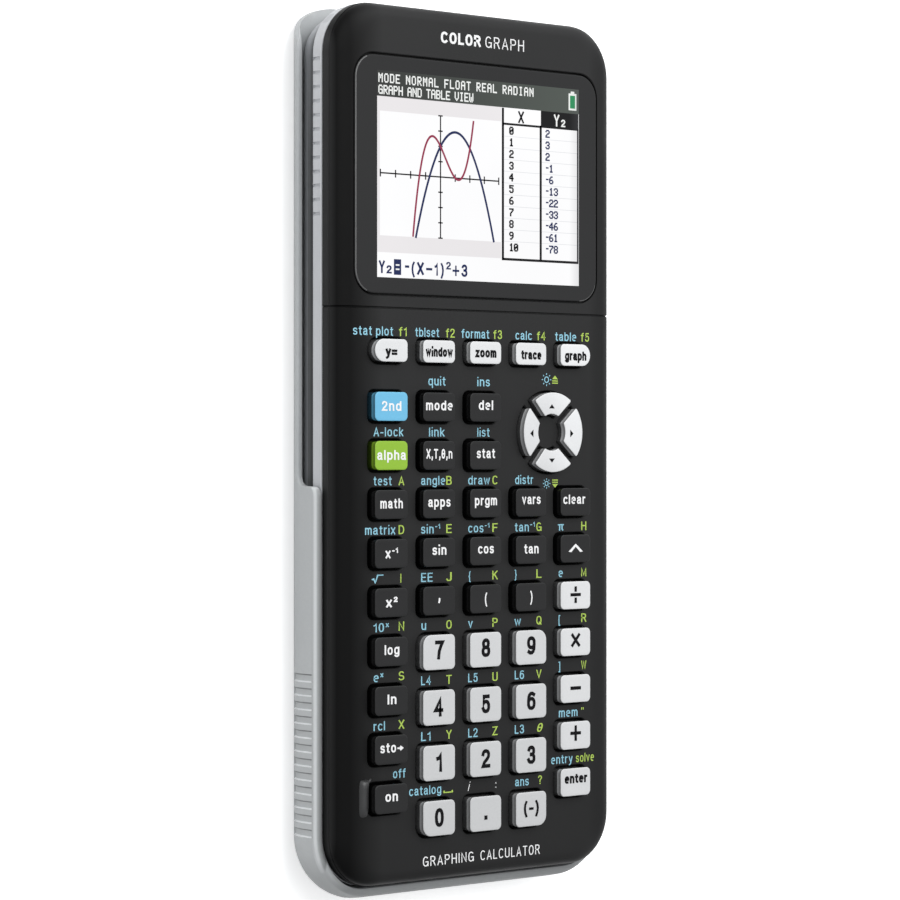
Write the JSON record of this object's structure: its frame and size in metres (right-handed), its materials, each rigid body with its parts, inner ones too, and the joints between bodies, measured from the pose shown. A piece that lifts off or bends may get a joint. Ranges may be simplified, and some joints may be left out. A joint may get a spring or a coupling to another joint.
{
  "type": "graphing calculator",
  "caption": "Handheld graphing calculator with a colour display, sprung keys, a four-way arrow ring and a hard slide cover parked on its back.",
  "frame": {"origin": "centre of the flat outside of the slide cover, which lies on the table, at z = 0; x = y = 0 is the centre of the bounding box", "axes": "+X to the right across the keys, +Y along the case from the keys towards the display, +Z out of the keys"},
  "size_m": [0.0824, 0.188, 0.0191],
  "materials": {
    "black_plastic": "fine satin texture",
    "silver_plastic": "satin silver-grey",
    "cover_plastic": "satin silver-grey",
    "window": "clear acrylic with a black printed border",
    "lcd": "colour display with backlight",
    "board": "green solder mask",
    "rubber": "moulded silicone",
    "battery": "wrapped cell",
    "key_dark": "satin black",
    "key_pale": "satin white",
    "key_blue": "satin light blue",
    "key_green": "satin green"
  },
  "bodies": {
    "calculator": {"front_case": "black_plastic", "rear_case": "silver_plastic", "display_window": "window", "lcd_module": "lcd", "main_board": "board", "keypad_membrane": "rubber", "battery_pack": "battery", "battery_door": "silver_plastic"},
    "cover": {"slide_cover": "cover_plastic"},
    "reset": {"reset_button": "silver_plastic"},
    "key_y_equals_body": {"key_y_equals": "key_pale"},
    "key_window_body": {"key_window": "key_pale"},
    "key_zoom_body": {"key_zoom": "key_pale"},
    "key_trace_body": {"key_trace": "key_pale"},
    "key_graph_body": {"key_graph": "key_pale"},
    "key_2nd_body": {"key_2nd": "key_blue"},
    "key_mode_body": {"key_mode": "key_dark"},
    "key_del_body": {"key_del": "key_dark"},
    "key_alpha_body": {"key_alpha": "key_green"},
    "key_variable_body": {"key_variable": "key_dark"},
    "key_stat_body": {"key_stat": "key_dark"},
    "key_math_body": {"key_math": "key_dark"},
    "key_apps_body": {"key_apps": "key_dark"},
    "key_prgm_body": {"key_prgm": "key_dark"},
    "key_vars_body": {"key_vars": "key_dark"},
    "key_clear_body": {"key_clear": "key_dark"},
    "key_inverse_body": {"key_inverse": "key_dark"},
    "key_sin_body": {"key_sin": "key_dark"},
    "key_cos_body": {"key_cos": "key_dark"},
    "key_tan_body": {"key_tan": "key_dark"},
    "key_power_body": {"key_power": "key_dark"},
    "key_square_body": {"key_square": "key_dark"},
    "key_comma_body": {"key_comma": "key_dark"},
    "key_paren_open_body": {"key_paren_open": "key_dark"},
    "key_paren_close_body": {"key_paren_close": "key_dark"},
    "key_divide_body": {"key_divide": "key_pale"},
    "key_log_body": {"key_log": "key_dark"},
    "key_multiply_body": {"key_multiply": "key_pale"},
    "key_ln_body": {"key_ln": "key_dark"},
    "key_minus_body": {"key_minus": "key_pale"},
    "key_sto_body": {"key_sto": "key_dark"},
    "key_plus_body": {"key_plus": "key_pale"},
    "key_on_body": {"key_on": "key_dark"},
    "key_enter_body": {"key_enter": "key_pale"},
    "key_7_body": {"key_7": "key_pale"},
    "key_8_body": {"key_8": "key_pale"},
    "key_9_body": {"key_9": "key_pale"},
    "key_4_body": {"key_4": "key_pale"},
    "key_5_body": {"key_5": "key_pale"},
    "key_6_body": {"key_6": "key_pale"},
    "key_1_body": {"key_1": "key_pale"},
    "key_2_body": {"key_2": "key_pale"},
    "key_3_body": {"key_3": "key_pale"},
    "key_0_body": {"key_0": "key_pale"},
    "key_point_body": {"key_point": "key_pale"},
    "key_negate_body": {"key_negate": "key_pale"},
    "key_up_body": {"key_up": "key_pale"},
    "key_down_body": {"key_down": "key_pale"},
    "key_left_body": {"key_left": "key_pale"},
    "key_right_body": {"key_right": "key_pale"}
  },
  "joints": [
    {"name": "cover_slide", "type": "slide", "parent": "calculator", "child": "cover", "axis": [0, -1, 0], "range_m": [0, 0.19]},
    {"name": "key_y_equals_press", "type": "slide", "parent": "calculator", "child": "key_y_equals_body", "axis": [0, 0, -1], "range_m": [0, 0.001], "stiffness_N_per_m": 120, "springref_m": -0.0006},
    {"name": "key_window_press", "type": "slide", "parent": "calculator", "child": "key_window_body", "axis": [0, 0, -1], "range_m": [0, 0.001], "stiffness_N_per_m": 120, "springref_m": -0.0006},
    {"name": "key_zoom_press", "type": "slide", "parent": "calculator", "child": "key_zoom_body", "axis": [0, 0, -1], "range_m": [0, 0.001], "stiffness_N_per_m": 120, "springref_m": -0.0006},
    {"name": "key_trace_press", "type": "slide", "parent": "calculator", "child": "key_trace_body", "axis": [0, 0, -1], "range_m": [0, 0.001], "stiffness_N_per_m": 120, "springref_m": -0.0006},
    {"name": "key_graph_press", "type": "slide", "parent": "calculator", "child": "key_graph_body", "axis": [0, 0, -1], "range_m": [0, 0.001], "stiffness_N_per_m": 120, "springref_m": -0.0006},
    {"name": "key_2nd_press", "type": "slide", "parent": "calculator", "child": "key_2nd_body", "axis": [0, 0, -1], "range_m": [0, 0.001], "stiffness_N_per_m": 120, "springref_m": -0.0006},
    {"name": "key_mode_press", "type": "slide", "parent": "calculator", "child": "key_mode_body", "axis": [0, 0, -1], "range_m": [0, 0.001], "stiffness_N_per_m": 120, "springref_m": -0.0006},
    {"name": "key_del_press", "type": "slide", "parent": "calculator", "child": "key_del_body", "axis": [0, 0, -1], "range_m": [0, 0.001], "stiffness_N_per_m": 120, "springref_m": -0.0006},
    {"name": "key_alpha_press", "type": "slide", "parent": "calculator", "child": "key_alpha_body", "axis": [0, 0, -1], "range_m": [0, 0.001], "stiffness_N_per_m": 120, "springref_m": -0.0006},
    {"name": "key_variable_press", "type": "slide", "parent": "calculator", "child": "key_variable_body", "axis": [0, 0, -1], "range_m": [0, 0.001], "stiffness_N_per_m": 120, "springref_m": -0.0006},
    {"name": "key_stat_press", "type": "slide", "parent": "calculator", "child": "key_stat_body", "axis": [0, 0, -1], "range_m": [0, 0.001], "stiffness_N_per_m": 120, "springref_m": -0.0006},
    {"name": "key_math_press", "type": "slide", "parent": "calculator", "child": "key_math_body", "axis": [0, 0, -1], "range_m": [0, 0.001], "stiffness_N_per_m": 120, "springref_m": -0.0006},
    {"name": "key_apps_press", "type": "slide", "parent": "calculator", "child": "key_apps_body", "axis": [0, 0, -1], "range_m": [0, 0.001], "stiffness_N_per_m": 120, "springref_m": -0.0006},
    {"name": "key_prgm_press", "type": "slide", "parent": "calculator", "child": "key_prgm_body", "axis": [0, 0, -1], "range_m": [0, 0.001], "stiffness_N_per_m": 120, "springref_m": -0.0006},
    {"name": "key_vars_press", "type": "slide", "parent": "calculator", "child": "key_vars_body", "axis": [0, 0, -1], "range_m": [0, 0.001], "stiffness_N_per_m": 120, "springref_m": -0.0006},
    {"name": "key_clear_press", "type": "slide", "parent": "calculator", "child": "key_clear_body", "axis": [0, 0, -1], "range_m": [0, 0.001], "stiffness_N_per_m": 120, "springref_m": -0.0006},
    {"name": "key_inverse_press", "type": "slide", "parent": "calculator", "child": "key_inverse_body", "axis": [0, 0, -1], "range_m": [0, 0.001], "stiffness_N_per_m": 120, "springref_m": -0.0006},
    {"name": "key_sin_press", "type": "slide", "parent": "calculator", "child": "key_sin_body", "axis": [0, 0, -1], "range_m": [0, 0.001], "stiffness_N_per_m": 120, "springref_m": -0.0006},
    {"name": "key_cos_press", "type": "slide", "parent": "calculator", "child": "key_cos_body", "axis": [0, 0, -1], "range_m": [0, 0.001], "stiffness_N_per_m": 120, "springref_m": -0.0006},
    {"name": "key_tan_press", "type": "slide", "parent": "calculator", "child": "key_tan_body", "axis": [0, 0, -1], "range_m": [0, 0.001], "stiffness_N_per_m": 120, "springref_m": -0.0006},
    {"name": "key_power_press", "type": "slide", "parent": "calculator", "child": "key_power_body", "axis": [0, 0, -1], "range_m": [0, 0.001], "stiffness_N_per_m": 120, "springref_m": -0.0006},
    {"name": "key_square_press", "type": "slide", "parent": "calculator", "child": "key_square_body", "axis": [0, 0, -1], "range_m": [0, 0.001], "stiffness_N_per_m": 120, "springref_m": -0.0006},
    {"name": "key_comma_press", "type": "slide", "parent": "calculator", "child": "key_comma_body", "axis": [0, 0, -1], "range_m": [0, 0.001], "stiffness_N_per_m": 120, "springref_m": -0.0006},
    {"name": "key_paren_open_press", "type": "slide", "parent": "calculator", "child": "key_paren_open_body", "axis": [0, 0, -1], "range_m": [0, 0.001], "stiffness_N_per_m": 120, "springref_m": -0.0006},
    {"name": "key_paren_close_press", "type": "slide", "parent": "calculator", "child": "key_paren_close_body", "axis": [0, 0, -1], "range_m": [0, 0.001], "stiffness_N_per_m": 120, "springref_m": -0.0006},
    {"name": "key_divide_press", "type": "slide", "parent": "calculator", "child": "key_divide_body", "axis": [0, 0, -1], "range_m": [0, 0.001], "stiffness_N_per_m": 120, "springref_m": -0.0006},
    {"name": "key_log_press", "type": "slide", "parent": "calculator", "child": "key_log_body", "axis": [0, 0, -1], "range_m": [0, 0.001], "stiffness_N_per_m": 120, "springref_m": -0.0006},
    {"name": "key_multiply_press", "type": "slide", "parent": "calculator", "child": "key_multiply_body", "axis": [0, 0, -1], "range_m": [0, 0.001], "stiffness_N_per_m": 120, "springref_m": -0.0006},
    {"name": "key_ln_press", "type": "slide", "parent": "calculator", "child": "key_ln_body", "axis": [0, 0, -1], "range_m": [0, 0.001], "stiffness_N_per_m": 120, "springref_m": -0.0006},
    {"name": "key_minus_press", "type": "slide", "parent": "calculator", "child": "key_minus_body", "axis": [0, 0, -1], "range_m": [0, 0.001], "stiffness_N_per_m": 120, "springref_m": -0.0006},
    {"name": "key_sto_press", "type": "slide", "parent": "calculator", "child": "key_sto_body", "axis": [0, 0, -1], "range_m": [0, 0.001], "stiffness_N_per_m": 120, "springref_m": -0.0006},
    {"name": "key_plus_press", "type": "slide", "parent": "calculator", "child": "key_plus_body", "axis": [0, 0, -1], "range_m": [0, 0.001], "stiffness_N_per_m": 120, "springref_m": -0.0006},
    {"name": "key_on_press", "type": "slide", "parent": "calculator", "child": "key_on_body", "axis": [0, 0, -1], "range_m": [0, 0.001], "stiffness_N_per_m": 120, "springref_m": -0.0006},
    {"name": "key_enter_press", "type": "slide", "parent": "calculator", "child": "key_enter_body", "axis": [0, 0, -1], "range_m": [0, 0.001], "stiffness_N_per_m": 120, "springref_m": -0.0006},
    {"name": "key_7_press", "type": "slide", "parent": "calculator", "child": "key_7_body", "axis": [0, 0, -1], "range_m": [0, 0.001], "stiffness_N_per_m": 120, "springref_m": -0.0006},
    {"name": "key_8_press", "type": "slide", "parent": "calculator", "child": "key_8_body", "axis": [0, 0, -1], "range_m": [0, 0.001], "stiffness_N_per_m": 120, "springref_m": -0.0006},
    {"name": "key_9_press", "type": "slide", "parent": "calculator", "child": "key_9_body", "axis": [0, 0, -1], "range_m": [0, 0.001], "stiffness_N_per_m": 120, "springref_m": -0.0006},
    {"name": "key_4_press", "type": "slide", "parent": "calculator", "child": "key_4_body", "axis": [0, 0, -1], "range_m": [0, 0.001], "stiffness_N_per_m": 120, "springref_m": -0.0006},
    {"name": "key_5_press", "type": "slide", "parent": "calculator", "child": "key_5_body", "axis": [0, 0, -1], "range_m": [0, 0.001], "stiffness_N_per_m": 120, "springref_m": -0.0006},
    {"name": "key_6_press", "type": "slide", "parent": "calculator", "child": "key_6_body", "axis": [0, 0, -1], "range_m": [0, 0.001], "stiffness_N_per_m": 120, "springref_m": -0.0006},
    {"name": "key_1_press", "type": "slide", "parent": "calculator", "child": "key_1_body", "axis": [0, 0, -1], "range_m": [0, 0.001], "stiffness_N_per_m": 120, "springref_m": -0.0006},
    {"name": "key_2_press", "type": "slide", "parent": "calculator", "child": "key_2_body", "axis": [0, 0, -1], "range_m": [0, 0.001], "stiffness_N_per_m": 120, "springref_m": -0.0006},
    {"name": "key_3_press", "type": "slide", "parent": "calculator", "child": "key_3_body", "axis": [0, 0, -1], "range_m": [0, 0.001], "stiffness_N_per_m": 120, "springref_m": -0.0006},
    {"name": "key_0_press", "type": "slide", "parent": "calculator", "child": "key_0_body", "axis": [0, 0, -1], "range_m": [0, 0.001], "stiffness_N_per_m": 120, "springref_m": -0.0006},
    {"name": "key_point_press", "type": "slide", "parent": "calculator", "child": "key_point_body", "axis": [0, 0, -1], "range_m": [0, 0.001], "stiffness_N_per_m": 120, "springref_m": -0.0006},
    {"name": "key_negate_press", "type": "slide", "parent": "calculator", "child": "key_negate_body", "axis": [0, 0, -1], "range_m": [0, 0.001], "stiffness_N_per_m": 120, "springref_m": -0.0006},
    {"name": "key_up_press", "type": "slide", "parent": "calculator", "child": "key_up_body", "axis": [0, 0, -1], "range_m": [0, 0.001], "stiffness_N_per_m": 120, "springref_m": -0.0006},
    {"name": "key_down_press", "type": "slide", "parent": "calculator", "child": "key_down_body", "axis": [0, 0, -1], "range_m": [0, 0.001], "stiffness_N_per_m": 120, "springref_m": -0.0006},
    {"name": "key_left_press", "type": "slide", "parent": "calculator", "child": "key_left_body", "axis": [0, 0, -1], "range_m": [0, 0.001], "stiffness_N_per_m": 120, "springref_m": -0.0006},
    {"name": "key_right_press", "type": "slide", "parent": "calculator", "child": "key_right_body", "axis": [0, 0, -1], "range_m": [0, 0.001], "stiffness_N_per_m": 120, "springref_m": -0.0006},
    {"name": "reset_press", "type": "slide", "parent": "calculator", "child": "reset", "axis": [0, 0, 1], "range_m": [0, 0.0005], "stiffness_N_per_m": 300, "springref_m": -0.0004}
  ]
}
